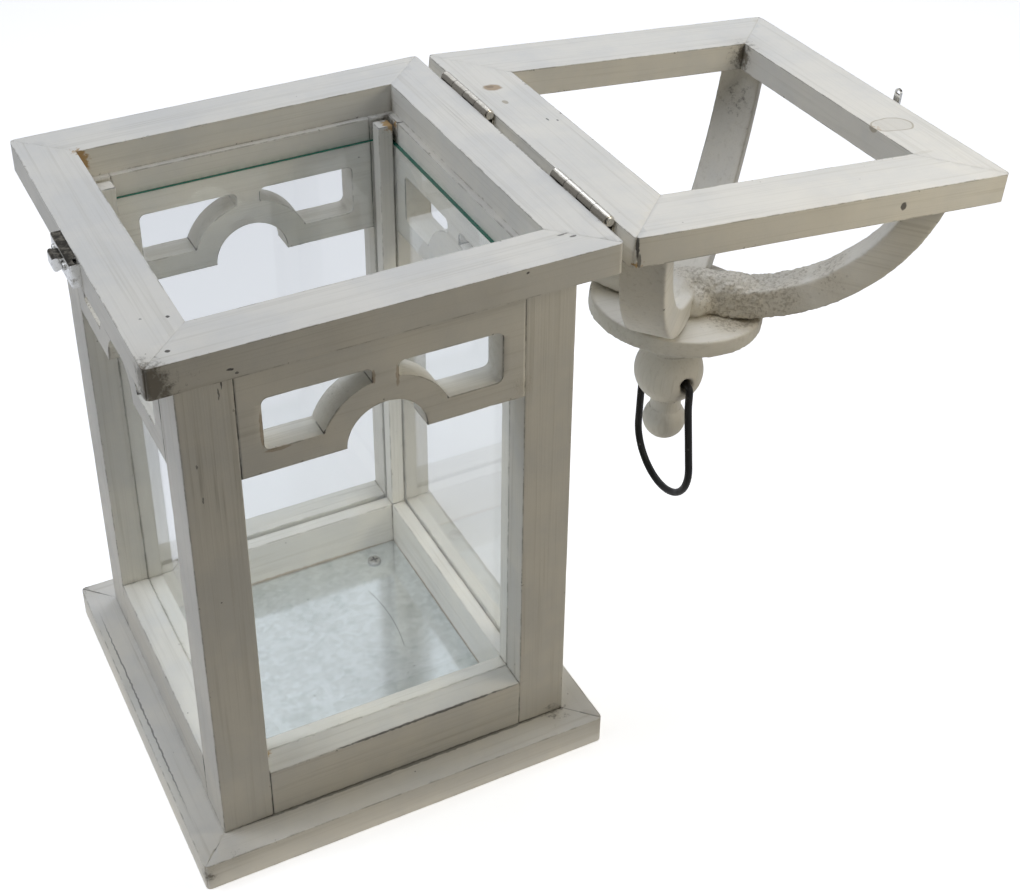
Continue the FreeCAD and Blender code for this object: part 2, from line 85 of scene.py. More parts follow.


# ---------------------------------------------------------------- soil and bare wood, placed one by one

# Each stain is its place, its radius in millimetres and its strength, on whichever pieces it reaches.
SOIL = [
    (body_point(-100, -100, 275), 12, 1.0), (body_point(-94, -101, 271), 9, 0.75),
    (body_point(-88, -100, 272), 10, 0.4),
    (body_point(100, -100, 275), 5, 0.5), (body_point(70.8, 70.8, 262), 9, 0.9),
    (body_point(-101, -101, 8), 7, 0.7), (body_point(-86, -100, 15), 9, 0.45),
    (body_point(82, -87, 16), 12, 0.55), (body_point(-72, 87, 20), 9, 0.6),
    (body_point(101, -101, 12), 6, 0.5),
    (body_point(-101, 101, 15), 8, 0.6), (body_point(-101, 20, 15), 6, 0.4),
    (lid_point(4, -99, 6), 6, 0.3), (lid_point(170, 68, 7), 11, 0.8),
    (lid_point(198, -99, 4), 8, 0.40), (lid_point(100, -99, 1), 12, 0.3),
    (body_point(40, -100, 275), 9, 0.35), (body_point(20, -100, 272), 12, 0.2),
    (body_point(-76, -100, 276), 12, 0.38), (body_point(-25, -100, 273), 10, 0.30),
    (lid_point(128, -30, 92), 17, 0.5), (lid_point(140, -42, 82), 14, 0.4),
    (lid_point(102, 0, 92), 15, 0.6), (lid_point(101, -30, 108), 14, 0.45),
    (lid_point(105, -16, 146), 5, 0.9), (lid_point(99, -12, 160), 6, 0.5),
    (lid_point(170, 66, 30), 16, 0.5), (lid_point(118, -60, 108), 8, 0.5),
]
BARE = [
    (body_point(-76, 76, 277), 7, 0.9), (body_point(70, 66, 266.8), 5, 0.8),
    (body_point(-62, -73, 42), 6, 0.8), (lid_point(172, -40, 1), 6, 0.5),
    (lid_point(6, -98, 13), 4, 0.6), (body_point(17.6, 100, 281), 4, 0.5),
]
# Rough filler, as extra relief: place, radius, height of the lumps, all in millimetres.
ROUGH = [
    (lid_point(120, -20, 88), 20, 1.5), (lid_point(138, -36, 82), 15, 1.2),
    (lid_point(104, -8, 90), 13, 1.0), (lid_point(170, 68, 30), 14, 0.35),
    (lid_point(152, -52, 68), 13, 0.9), (lid_point(112, -30, 101), 12, 0.8),
    (body_point(63, -85, 215), 7, 0.5), (body_point(30, -86, 222), 12, 0.35),
    (body_point(-30, -86, 222), 12, 0.35), (body_point(-23, -80, 237), 10, 0.6),
]

# Small marks drawn by the paint: place, radii along the world's axes in millimetres, colour, strength.
DARK, TAN, OCHRE = (0.03, 0.024, 0.016), (0.42, 0.36, 0.26), (0.36, 0.24, 0.12)
MARKS = [
    (body_point(-81, -70, 282), (0.8, 0.8, 2.0), DARK, 0.9),
    (body_point(-88, -92, 282), (1.1, 1.0, 2.0), DARK, 0.9),
    (body_point(-90.5, -67, 282), (0.5, 0.6, 2.0), DARK, 0.6),
    (body_point(-67.5, -100, 272.4), (1.3, 1.5, 0.7), DARK, 0.9),
    (body_point(-65.0, -100, 270.4), (0.8, 1.5, 0.5), DARK, 0.7),
    (body_point(-67.6, -86.5, 259.0), (0.40, 1.0, 4.0), DARK, 0.85),
    (body_point(-69.0, -86.5, 253.0), (0.35, 1.0, 2.6), DARK, 0.7),
    (body_point(-80.5, -86.5, 222.0), (0.4, 1.0, 1.2), DARK, 0.6),
    (body_point(-79.5, -86.5, 205.0), (0.35, 1.0, 1.6), DARK, 0.6),
    (body_point(56.0, -100, 280.0), (0.7, 1.5, 0.6), DARK, 0.9),
    (body_point(-53.2, -86.5, 231.0), (0.9, 0.8, 9.0), OCHRE, 0.55),
    (body_point(-47.0, -86.5, 219.6), (6.0, 0.8, 0.9), OCHRE, 0.5),
    (body_point(5.2, -86.5, 238.5), (0.8, 0.8, 5.5), OCHRE, 0.5),
    (body_point(-5.2, -86.5, 241.0), (0.8, 0.8, 3.5), OCHRE, 0.5),
    (body_point(14.0, -86.5, 42.0), (48.0, 0.9, 0.7), DARK, 0.75),
    (body_point(4.0, -86.8, 15.2), (84.0, 1.0, 0.8), DARK, 0.55),
    (body_point(0.0, 63.3, 15.9), (64.0, 1.3, 1.0), OCHRE, 0.55),
    (body_point(63.3, 0.0, 15.9), (1.3, 64.0, 1.0), OCHRE, 0.55),
    (body_point(-97.5, 5.0, 15.0), (0.45, 70.0, 1.0), DARK, 0.6),
    # Painted shade: a dark line along the frame's top edge on the hinge side, for the shade in the gap under
    # the lid.
    (body_point(100.2, 0.0, 281.4), (0.5, 92.0, 0.9), DARK, 0.6),
    (body_point(81.0, -83.0, 282), (2.6, 0.5, 2.0), DARK, 0.7),
    (body_point(84.0, -86.0, 282), (1.6, 0.6, 2.0), DARK, 0.8),
    (lid_point(16, 54, 0), (5.0, 3.4, 1.5), OCHRE, 0.85),
    (lid_point(15, 55, 0), (2.2, 1.5, 1.5), DARK, 0.35),
    (lid_point(14, 37, 0), (1.4, 2.0, 1.5), TAN, 0.8),
    (lid_point(24, 14, 0), (0.5, 1.5, 1.5), DARK, 0.8),
    (lid_point(28, 12, 0), (0.6, 0.8, 1.5), DARK, 0.8),
    (lid_point(141, -99, 7), (1.6, 1.5, 2.0), DARK, 0.85),
    (lid_point(4.5, -99, 5), (0.7, 3.0, 5.5), DARK, 0.9),
    (lid_point(6.0, -99, 11), (0.9, 3.0, 3.5), DARK, 0.7),
    (lid_point(164, -36, 4), (2.5, 7.0, 5.0), TAN, 0.7),
    (lid_point(176, -68, 0), (6.0, 1.2, 1.5), TAN, 0.15),
]
# The tide line left by a drip on the lid: centre, radii in millimetres along X and Y, and half the line's
# width as a share of them.
TIDE = (lid_point(181, -38, 0), (11.5, 7.0), 0.05)

# Filler pressed in where the arms meet: the arm it is part of, its place, and its radii in millimetres along,
# across and down that arm.
FILLER = [
    ("arm_front_outer", lid_point(109, -9, 90), (17, 9, 8)),
    ("arm_front_outer", lid_point(103, -12, 96), (10, 12, 9)),
    ("arm_front_outer", lid_point(122, -21, 86), (16, 9, 5)),
    ("arm_front_hinge", lid_point(96, -7, 90), (15, 9, 7)),
]


def blob_sum(points, blobs):
    total = np.zeros(len(points))
    for centre, radius, strength in blobs:
        distance = np.linalg.norm(points - np.array(centre), axis=1)
        total = np.maximum(total, strength * np.exp(-(distance / (radius * MM)) ** 2))
    return total


# ---------------------------------------------------------------- mesh work

# In millimetres: how far a pane keeps the grime and painted corner shade off, the finely cut band inside a
# board's edges, the rounding of its outer corners, and the distance beyond which an arris or a joint no
# longer shows.
GLAZED_REACH, EDGE_BAND, BOARD_CORNER, LID_CORNER, FURTHEST = 3, 2.4, 2.4, 3.2, 20
FLAT_FACE_WEIGHT = 80


def box_distance(points, low, high):
    """Each point's distance to an upright box."""
    outside = np.maximum(np.maximum(np.array(low) - points, points - np.array(high)), 0)
    return np.linalg.norm(outside, axis=1)


def beside_glass(points):
    """1 where a pane lies against the surface, falling to 0 a few millimetres away."""
    near = [box_distance(points, *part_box("glass_" + side)) for side in SIDES]
    return np.exp(-np.min(near, axis=0) / (GLAZED_REACH * MM))


def segment_distance(points, starts, ends):
    """Each point's distance to the nearest of the segments."""
    best = np.full(len(points), 1.0)
    for a, b in zip(starts, ends):
        run = b - a
        t = np.clip((points - a) @ run / max(run @ run, 1e-12), 0, 1)
        best = np.minimum(best, np.linalg.norm(points - a - t[:, None] * run, axis=1))
    return best


def coordinates(mesh):
    found = np.empty(len(mesh.vertices) * 3)
    mesh.vertices.foreach_get("co", found)
    return found.reshape(-1, 3)


def store(mesh, name, values):
    """Keeps one number or one vector for each vertex, for the materials to read."""
    kind, key = ("FLOAT", "value") if values.ndim == 1 else ("FLOAT_VECTOR", "vector")
    layer = mesh.attributes.new(name, kind, "POINT")
    layer.data.foreach_set(key, values.astype(np.float32).ravel())


def sharp_edges(bm, degrees=30):
    limit = math.radians(degrees)
    return [e for e in bm.edges if len(e.link_faces) == 2 and e.calc_face_angle(0) > limit]


def cut_across(bm, spacing, margin, lines):
    """Cuts every face along planes across each axis: near its ends, evenly between, and at given lines."""
    for axis in range(3):
        values = [v.co[axis] for v in bm.verts]
        low, high = min(values), max(values)
        inner = high - low - 2 * margin
        near = [margin / 2, margin] if inner > margin else []
        places = [low + step for step in near] + [high - step for step in near]
        count = int(inner / spacing)
        places += [low + margin + inner * (k + 1) / (count + 1) for k in range(count)]
        places += [place * MM for line_axis, place in lines if line_axis == axis]
        for place in places:
            point, normal = Vector(), Vector()
            point[axis], normal[axis] = place, 1
            everything = bm.verts[:] + bm.edges[:] + bm.faces[:]
            bmesh.ops.bisect_plane(bm, geom=everything, dist=1e-6, plane_co=point, plane_no=normal)


def local_copy(node, axes):
    """The node's mesh in a new bmesh, in the piece's own axes."""
    bm = bmesh.new()
    bm.from_mesh(NODES[node].data)
    bmesh.ops.remove_doubles(bm, verts=bm.verts[:], dist=1e-6)
    bm.transform(axes.inverted())
    bm.normal_update()
    return bm


def segments(edges):
    """The two ends of each edge, as two arrays."""
    return [np.array([e.verts[k].co[:] for e in edges]).reshape(-1, 3) for k in (0, 1)]


def board_mesh(node, axes, is_joint, spacing, arris, lines):
    """A board with broken arrises, finely cut, with the segments of its arrises and of its joints."""
    bm = local_copy(node, axes)
    bmesh.ops.dissolve_limit(bm, angle_limit=math.radians(1), verts=bm.verts[:], edges=bm.edges[:])
    edges = sharp_edges(bm)
    joints = [e for e in edges if any(is_joint(f.normal) for f in e.link_faces)]
    arrises = [e for e in edges if e not in set(joints)]
    kept = segments(arrises), segments(joints)
    bmesh.ops.bevel(bm, geom=arrises, offset=arris, segments=2, profile=0.5, affect="EDGES",
                    clamp_overlap=True)
    cut_across(bm, spacing, EDGE_BAND * MM, lines)
    bmesh.ops.remove_doubles(bm, verts=bm.verts[:], dist=2e-6)
    mesh = bpy.data.meshes.new(node + "_worn")
    bm.to_mesh(mesh)
    bm.free()
    return mesh, kept


def round_corner(points, half, radius):
    """Rounds the upright corners of a square frame, standing on its own centre."""
    start = half - radius
    over = np.maximum(np.abs(points[:, :2]) - start, 0)
    reach = np.maximum(over.max(axis=1), 1e-9)
    length = np.maximum(np.linalg.norm(over, axis=1), 1e-9)
    pulled = np.sign(points[:, :2]) * (start + over * (reach / length)[:, None])
    both = (over > 0).all(axis=1)
    points[both, :2] = pulled[both]


SMOOTHING_PASSES = 3


def remeshed(node, axes, voxel):
    """An even, fine mesh of a curved piece, and its sharp edges' segments for the wear."""
    bm = local_copy(node, axes)
    kept = segments(sharp_edges(bm, 40)), segments([])
    for owner, centre, radii in FILLER:
        if owner == node:
            place = axes.inverted() @ centre
            shape = Matrix.Translation(place) @ Matrix.Diagonal((*[r * MM for r in radii], 1))
            bmesh.ops.create_icosphere(bm, subdivisions=3, radius=1, matrix=shape)
    mesh = bpy.data.meshes.new(node + "_worn")
    bm.to_mesh(mesh)
    bm.free()
    piece = bpy.data.objects.new(node + "_remesh", mesh)
    bpy.context.scene.collection.objects.link(piece)
    modifier = piece.modifiers.new("even", "REMESH")
    modifier.mode = "VOXEL"
    modifier.voxel_size = voxel
    evaluated = piece.evaluated_get(bpy.context.evaluated_depsgraph_get())
    result = bpy.data.meshes.new_from_object(evaluated)
    result.name = node + "_worn"
    bpy.data.objects.remove(piece)
    bm = bmesh.new()
    bm.from_mesh(result)
    for _ in range(SMOOTHING_PASSES):
        bmesh.ops.smooth_vert(bm, verts=bm.verts[:], factor=0.5,
                              use_axis_x=True, use_axis_y=True, use_axis_z=True)
    bm.to_mesh(result)
    bm.free()
    return result, kept


# Relief from noise. Heights and reaches are in millimetres, and pitches are waves to a millimetre.
SEED_STEPS = (3.7, 1.9, -2.3)
WAVE_HEIGHT, WAVE_PITCH = 0.09, 0.03
NICK_REACH, NICK_PITCH, NICK_FLOOR = 1.3, 0.12, 0.25
LUMP_SHARE, LUMP_PITCH = 0.6, 0.45
CRUMB_SHARE, CRUMB_PITCH = 0.7, 1.1


def wear(mesh, axes, kept, seed, chip, corner):
    """Moves the surface by small waves, nicks along the arrises and lumps of filler."""
    points = coordinates(mesh)
    if corner:
        round_corner(points, *corner)
    world = points @ np.array(axes.to_3x3()).T + np.array(axes.translation)
    arris, seam = (segment_distance(points, *ends) for ends in kept)
    near = np.exp(-arris / (NICK_REACH * MM))
    rough = np.zeros(len(points))
    for centre, radius, height in ROUGH:
        distance = np.linalg.norm(world - np.array(centre), axis=1)
        rough += height * np.exp(-(distance / (radius * MM)) ** 2)
    normals = np.empty(len(points) * 3)
    mesh.vertices.foreach_get("normal", normals)
    normals = normals.reshape(-1, 3)
    shift = np.empty(len(points))
    offset = Vector([seed * step for step in SEED_STEPS])
    for i, place in enumerate(points / MM):
        p = Vector(place)
        wave = WAVE_HEIGHT * noise.noise(p * WAVE_PITCH + offset)
        nick = max(0.0, noise.noise(p * NICK_PITCH + offset) - NICK_FLOOR)
        lump = noise.noise(p * LUMP_PITCH + offset) + CRUMB_SHARE * noise.noise(p * CRUMB_PITCH + offset)
        shift[i] = wave - chip * near[i] * nick + LUMP_SHARE * rough[i] * lump
    points += normals * shift[:, None] * MM
    mesh.vertices.foreach_set("co", points.ravel())
    return world, arris / MM, seam / MM


def finish_wood(node, body, mesh, axes, grain, hidden_seam, world, arris, seam):
    """Stores what the paint reads, puts the piece in place of its CAD node and hangs it on its body."""
    order = {"x": (0, 1, 2), "y": (1, 0, 2), "z": (2, 0, 1)}[grain]
    store(mesh, "grain", coordinates(mesh)[:, order])
    store(mesh, "rest", world)
    store(mesh, "arris", np.minimum(arris, FURTHEST))
    store(mesh, "seam", np.minimum(seam + hidden_seam, FURTHEST))
    store(mesh, "soil", blob_sum(world, SOIL))
    store(mesh, "bare", blob_sum(world, BARE))
    store(mesh, "rough", blob_sum(world, ROUGH))
    store(mesh, "glazed", beside_glass(world))
    mesh.transform(axes)
    mesh.shade_smooth()
    piece = bpy.data.objects.new(node + "_painted", mesh)
    bpy.context.scene.collection.objects.link(piece)
    weighted = piece.modifiers.new("flat_faces", "WEIGHTED_NORMAL")
    weighted.mode = "FACE_AREA"
    weighted.weight = FLAT_FACE_WEIGHT
    piece.data.materials.append(MATERIALS["paint"])
    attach(piece, body)
    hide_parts(node)


def no_joint(normal):
    """For a piece without joints. These four say whether a face with this normal lies in a joint."""
    return False


def mitre_joint(normal):
    return abs(abs(normal.x) - abs(normal.y)) < 0.1 and abs(normal.z) < 0.1


def end_joint(normal):
    return abs(normal.x) > 0.9


def foot_joint(normal):
    return abs(normal.z) > 0.9


def wooden_board(node, body, axes, grain, is_joint, seed, spacing=6.0, arris=0.5, chip=0.4, corner=None,
                 lines=(), hidden_seam=0.0):
    """A straight board. hidden_seam, in millimetres, narrows the dark line along its joints."""
    mesh, kept = board_mesh(node, axes, is_joint, spacing * MM, arris * MM, lines)
    finish_wood(node, body, mesh, axes, grain, hidden_seam, *wear(mesh, axes, kept, seed, chip, corner))


def wooden_curve(node, body, axes, grain, seed, voxel=1.3, chip=0.3):
    """A curved or turned piece, with voxel in millimetres."""
    mesh, kept = remeshed(node, axes, voxel * MM)
    finish_wood(node, body, mesh, axes, grain, 0.0, *wear(mesh, axes, kept, seed, chip, None))


# ---------------------------------------------------------------- materials

HOLLOW_SAMPLES = 6


class Tree:
    """A material's nodes, made by short calls."""

    def __init__(self, name):
        self.material = bpy.data.materials.new(name)
        self.material.use_nodes = True
        self.nodes = self.material.node_tree.nodes
        self.links = self.material.node_tree.links
        self.shader = self.nodes["Principled BSDF"]
        self.output = self.nodes["Material Output"]

    def link(self, source, target):
        self.links.new(source, target)

    def feed(self, socket, value):
        if isinstance(value, bpy.types.NodeSocket):
            self.link(value, socket)
        else:
            socket.default_value = value

    def node(self, kind, **settings):
        made = self.nodes.new(kind)
        for key, value in settings.items():
            setattr(made, key, value)
        return made

    def attribute(self, name, output="Fac"):
        return self.node("ShaderNodeAttribute", attribute_name=name).outputs[output]

    def place(self):
        return self.node("ShaderNodeNewGeometry").outputs["Position"]

    def stretched(self, vector, scale):
        made = self.node("ShaderNodeMapping")
        self.link(vector, made.inputs["Vector"])
        made.inputs["Scale"].default_value = scale
        return made.outputs["Vector"]

    def normal(self, name="Normal"):
        return self.node("ShaderNodeNewGeometry").outputs[name]

    def split(self, vector):
        """The vector's three parts, under the names X, Y and Z."""
        made = self.node("ShaderNodeSeparateXYZ")
        self.link(vector, made.inputs[0])
        return made.outputs

    def noise(self, vector, scale, detail=4.0, rough=0.6):
        made = self.node("ShaderNodeTexNoise")
        self.link(vector, made.inputs["Vector"])
        made.inputs["Scale"].default_value = scale
        made.inputs["Detail"].default_value = detail
        made.inputs["Roughness"].default_value = rough
        return made.outputs["Fac"]

    def cells(self, vector, scale, output="Distance"):
        made = self.node("ShaderNodeTexVoronoi")
        self.link(vector, made.inputs["Vector"])
        made.inputs["Scale"].default_value = scale
        return made.outputs[output]

    def math(self, operation, a, b=0.0, clamp=False):
        made = self.node("ShaderNodeMath", operation=operation, use_clamp=clamp)
        self.feed(made.inputs[0], a)
        self.feed(made.inputs[1], b)
        return made.outputs[0]

    def spread(self, value, low, high, to_low=0.0, to_high=1.0):
        made = self.node("ShaderNodeMapRange", interpolation_type="SMOOTHSTEP")
        self.feed(made.inputs["Value"], value)
        for key, number in (("From Min", low), ("From Max", high), ("To Min", to_low), ("To Max", to_high)):
            made.inputs[key].default_value = number
        return made.outputs["Result"]

    def mix(self, amount, a, b):
        made = self.node("ShaderNodeMix", data_type="RGBA")
        self.feed(made.inputs["Factor"], amount)
        for socket, value in ((made.inputs[6], a), (made.inputs[7], b)):
            self.feed(socket, value if isinstance(value, bpy.types.NodeSocket) else (*value, 1.0))
        return made.outputs[2]

    def shifted(self, vector, scale, amount):
        """The vector, pushed about by noise, for ragged outlines."""
        made = self.node("ShaderNodeTexNoise")
        self.link(vector, made.inputs["Vector"])
        made.inputs["Scale"].default_value = scale
        centred = self.node("ShaderNodeVectorMath", operation="SUBTRACT")
        self.link(made.outputs["Color"], centred.inputs[0])
        centred.inputs[1].default_value = (0.5, 0.5, 0.5)
        pushed = self.node("ShaderNodeVectorMath", operation="MULTIPLY_ADD")
        self.link(centred.outputs[0], pushed.inputs[0])
        pushed.inputs[1].default_value = (amount, amount, amount)
        self.link(vector, pushed.inputs[2])
        return pushed.outputs[0]

    def reach(self, vector, centre, radii):
        """How far out from the centre, where 1 is on an ellipsoid with these radii in millimetres."""
        away = self.node("ShaderNodeVectorMath", operation="SUBTRACT")
        self.link(vector, away.inputs[0])
        away.inputs[1].default_value = centre
        scaled = self.node("ShaderNodeVectorMath", operation="MULTIPLY")
        self.link(away.outputs[0], scaled.inputs[0])
        scaled.inputs[1].default_value = [1 / (radius * MM) for radius in radii]
        length = self.node("ShaderNodeVectorMath", operation="LENGTH")
        self.link(scaled.outputs[0], length.inputs[0])
        return length.outputs["Value"]

    def hollow(self, distance):
        """0 on open surfaces, rising to 1 in corners within this distance, in metres."""
        made = self.node("ShaderNodeAmbientOcclusion", samples=HOLLOW_SAMPLES)
        made.inputs["Distance"].default_value = distance
        return self.math("SUBTRACT", 1.0, made.outputs["AO"])

    def bump(self, height, strength, distance):
        made = self.node("ShaderNodeBump")
        self.link(height, made.inputs["Height"])
        made.inputs["Strength"].default_value = strength
        made.inputs["Distance"].default_value = distance
        self.link(made.outputs["Normal"], self.shader.inputs["Normal"])

    def set(self, **values):
        for key, value in values.items():
            self.feed(self.shader.inputs[key.replace("_", " ")], value)


def srgb(r, g, b):
    """A colour from 0 to 255 as a screen shows it, made linear."""
    return tuple((c / 255 / 12.92) if c <= 10 else ((c / 255 + 0.055) / 1.055) ** 2.4 for c in (r, g, b))


PAINT, PAINT_COOL = srgb(236, 232, 221), srgb(226, 224, 217)
STREAK, GREY_WOOD = srgb(198, 193, 178), srgb(168, 163, 150)
SPECK, GRIME_AND_SHADE, RUBBED_EDGE = srgb(92, 82, 66), srgb(126, 112, 88), srgb(112, 102, 84)
SEAM_LINE, FILLER_TONE = srgb(52, 46, 38), srgb(214, 205, 186)
SOIL_TONE, SOIL_HALO, BARE_TONE = srgb(66, 57, 44), srgb(150, 138, 112), srgb(186, 154, 106)
PANE, PANE_SHADOW, PANE_EDGE = (0.975, 0.985, 0.98), (0.95, 0.965, 0.96), srgb(22, 104, 84)
SHEET_PALE, SHEET_BRIGHT, SHEET_FLECK = srgb(226, 232, 234), srgb(236, 243, 246), srgb(196, 206, 208)
SHEET_SMEAR, SHEET_SPECK, SHEET_SCRATCH = srgb(184, 192, 192), srgb(96, 98, 94), srgb(108, 112, 110)
NICKEL, NICKEL_DULL = srgb(226, 222, 214), srgb(150, 142, 128)
NICKEL_DARK_REFLECTION, NICKEL_PAINTED_SHADE = srgb(74, 68, 58), srgb(34, 30, 26)
UPWARD_REFLECTION_BLACK, UPWARD_REFLECTION_GREY = srgb(40, 37, 32), srgb(104, 100, 92)
LATCH_BRIGHT, LATCH_DULL = srgb(232, 232, 230), srgb(150, 146, 138)
ZINC, ZINC_DULL, ZINC_PAINTED_SHADE = srgb(190, 190, 188), srgb(120, 116, 110), srgb(38, 34, 30)
WIRE_BLACK, WIRE_SCUFF = srgb(15, 14, 13), srgb(96, 92, 88)
WOOD_DARK, WOOD_LIGHT = srgb(170, 130, 84), srgb(206, 170, 120)


def tide_line(t, place, colour):
    """The colour with the drip's faint inside and its ragged outline laid over it."""
    centre, (along, across), half_width = TIDE
    wavy = t.shifted(place, 60, 0.006)
    reach = t.reach(wavy, centre, (along, across, 4.0))
    line = t.spread(t.math("ABSOLUTE", t.math("SUBTRACT", reach, 1.0)), half_width * 1.6, half_width * 0.4)
    colour = t.mix(t.math("MULTIPLY", t.spread(reach, 1.0, 0.9), 0.16), colour, TAN)
    return t.mix(t.math("MULTIPLY", line, 0.75), colour, TAN)


def paint_material():
    """Off-white paint over wood: faint grain, thin dark arrises and seams, grime and painted shade in the
    corners, stains.
    """
    t = Tree("worn_paint")
    place, grain = t.attribute("rest", "Vector"), t.attribute("grain", "Vector")
    arris, seam, rough = t.attribute("arris"), t.attribute("seam"), t.attribute("rough")
    soil, bare = t.attribute("soil"), t.attribute("bare")
    streaks = t.noise(t.stretched(grain, (8, 420, 420)), 1.0, 5, 0.6)
    brush = t.noise(t.stretched(grain, (12, 1100, 1100)), 1.0, 3, 0.5)
    mottle, patch = t.noise(place, 24, 5, 0.6), t.noise(place, 9, 2, 0.5)
    fine, broken = t.noise(place, 420, 6, 0.7), t.noise(place, 330, 6, 0.75)
    colour = t.mix(t.spread(mottle, 0.35, 0.68), PAINT, PAINT_COOL)
    colour = t.mix(t.spread(streaks, 0.50, 0.76, 0.0, 0.42), colour, STREAK)
    colour = t.mix(t.spread(brush, 0.55, 0.75, 0.0, 0.24), colour, STREAK)
    rubbed = t.math("MULTIPLY", t.spread(streaks, 0.60, 0.70), t.spread(patch, 0.56, 0.70))
    colour = t.mix(t.math("MULTIPLY", rubbed, 0.38), colour, GREY_WOOD)
    specks = t.math("MULTIPLY", t.spread(t.cells(place, 170), 0.09, 0.03),
                    t.spread(t.noise(place, 50, 3), 0.61, 0.66))
    colour = t.mix(t.math("MULTIPLY", specks, 0.85), colour, SPECK)
    pitted = t.math("MULTIPLY", t.spread(t.cells(place, 330), 0.30, 0.12), t.spread(rough, 0.15, 0.5))
    pitted = t.math("MULTIPLY", pitted, t.spread(broken, 0.42, 0.56))
    colour = t.mix(t.math("MULTIPLY", pitted, 0.32), colour, SPECK)
    colour = t.mix(t.math("MULTIPLY", t.spread(rough, 0.15, 0.6), 0.35), colour, FILLER_TONE)
    open_air = t.math("SUBTRACT", 1.0, t.attribute("glazed"), clamp=True)
    # Partly grime, partly painted shade: darker in corners and where parts meet, by ambient occlusion, and
    # kept off where a pane lies against the wood.
    grime_and_corner_shade = t.math("MULTIPLY", t.spread(t.hollow(0.005), 0.38, 0.80),
                  t.spread(t.noise(place, 140, 5, 0.7), 0.36, 0.66))
    colour = t.mix(t.math("MULTIPLY", t.math("MULTIPLY", grime_and_corner_shade, open_air), 0.60), colour, GRIME_AND_SHADE)
    worn = t.math("MULTIPLY", t.spread(arris, 0.7, 0.1), t.spread(t.noise(place, 70, 4, 0.7), 0.44, 0.60))
    colour = t.mix(t.math("MULTIPLY", worn, 0.48), colour, RUBBED_EDGE)
    crumbs = t.math("MULTIPLY", t.spread(arris, 1.5, 0.5), t.spread(t.noise(place, 260, 5, 0.7), 0.63, 0.69))
    colour = t.mix(t.math("MULTIPLY", crumbs, 0.75), colour, RUBBED_EDGE)
    line = t.math("MULTIPLY", t.spread(seam, 0.55, 0.12), t.spread(t.noise(place, 38, 4, 0.7), 0.40, 0.56))
    colour = t.mix(t.math("MULTIPLY", line, 0.80), colour, SEAM_LINE)
    stain = t.math("ADD", soil, t.math("MULTIPLY", t.math("SUBTRACT", broken, 0.5), 1.5))
    stain = t.math("MULTIPLY", t.spread(stain, 0.42, 0.80), t.spread(soil, 0.04, 0.3))
    colour = t.mix(t.math("MULTIPLY", stain, 0.80), colour, SOIL_TONE)
    colour = t.mix(t.math("MULTIPLY", soil, 0.30), colour, SOIL_HALO)
    opened = t.math("ADD", bare, t.math("MULTIPLY", t.math("SUBTRACT", broken, 0.5), 1.2))
    opened = t.math("MULTIPLY", t.spread(opened, 0.4, 0.6), t.spread(bare, 0.04, 0.25))
    colour = t.mix(opened, colour, BARE_TONE)
    grit = t.math("MULTIPLY", t.noise(place, 620, 4, 0.7), t.spread(rough, 0.1, 0.6))
    colour = t.mix(t.spread(grit, 0.46, 0.62, 0.0, 0.45), colour, GRIME_AND_SHADE)
    ragged = t.shifted(place, 380, 0.0014)
    dents_under_dark_marks = 0.0
    for centre, radii, tone, strength in MARKS:
        inside = t.math("MULTIPLY", t.spread(t.reach(ragged, centre, radii), 1.15, 0.75), strength)
        colour = t.mix(inside, colour, tone)
        dents_under_dark_marks = t.math("MAXIMUM", inside, dents_under_dark_marks) if tone == DARK else dents_under_dark_marks
    colour = tide_line(t, place, colour)
    height = t.math("ADD", t.math("MULTIPLY", streaks, 0.45), t.math("MULTIPLY", brush, 0.35))
    height = t.math("ADD", height, t.math("MULTIPLY", fine, 0.30))
    height = t.math("SUBTRACT", height, t.math("MULTIPLY", t.math("MAXIMUM", stain, pitted), 0.8))
    height = t.math("SUBTRACT", height, t.math("MULTIPLY", t.math("MAXIMUM", line, specks), 0.8))
    height = t.math("SUBTRACT", height, dents_under_dark_marks)
    height = t.math("ADD", height, t.math("MULTIPLY", grit, 3.2))
    t.bump(height, 0.35, 0.0006)
    t.set(Base_Color=colour, Roughness=t.spread(mottle, 0.3, 0.7, 0.44, 0.58))
    t.shader.inputs["Specular IOR Level"].default_value = 0.35
    return t.material


def glass_material():
    """Clear panes whose ground top edges show dark green."""
    t = Tree("clear_pane")
    t.set(Base_Color=(*PANE, 1.0), Roughness=0.0, IOR=1.5)
    t.shader.inputs["Transmission Weight"].default_value = 1.0
    edge = t.node("ShaderNodeBsdfPrincipled")
    edge.inputs["Roughness"].default_value = 0.12
    edge.inputs["Base Color"].default_value = (*PANE_EDGE, 1.0)
    edge.inputs["Coat Weight"].default_value = 0.6
    rim = t.spread(t.math("ABSOLUTE", t.split(t.normal("True Normal"))["Z"]), 0.4, 0.6)
    solid = t.node("ShaderNodeMixShader")
    t.link(rim, solid.inputs[0])
    t.link(t.shader.outputs[0], solid.inputs[1])
    t.link(edge.outputs[0], solid.inputs[2])
    clear = t.node("ShaderNodeBsdfTransparent")
    clear.inputs["Color"].default_value = (*PANE_SHADOW, 1.0)
    path = t.node("ShaderNodeLightPath")
    mixed = t.node("ShaderNodeMixShader")
    t.link(path.outputs["Is Shadow Ray"], mixed.inputs[0])
    t.link(solid.outputs[0], mixed.inputs[1])
    t.link(clear.outputs[0], mixed.inputs[2])
    t.link(mixed.outputs[0], t.output.inputs["Surface"])
    return t.material


# The long scratch is an arc: its centre, its radius, and half its width and length, in metres.
SCRATCH = ((-0.065, 0.009), 0.1025, 0.00022, 0.024)
SCRATCH_FADE = 0.003


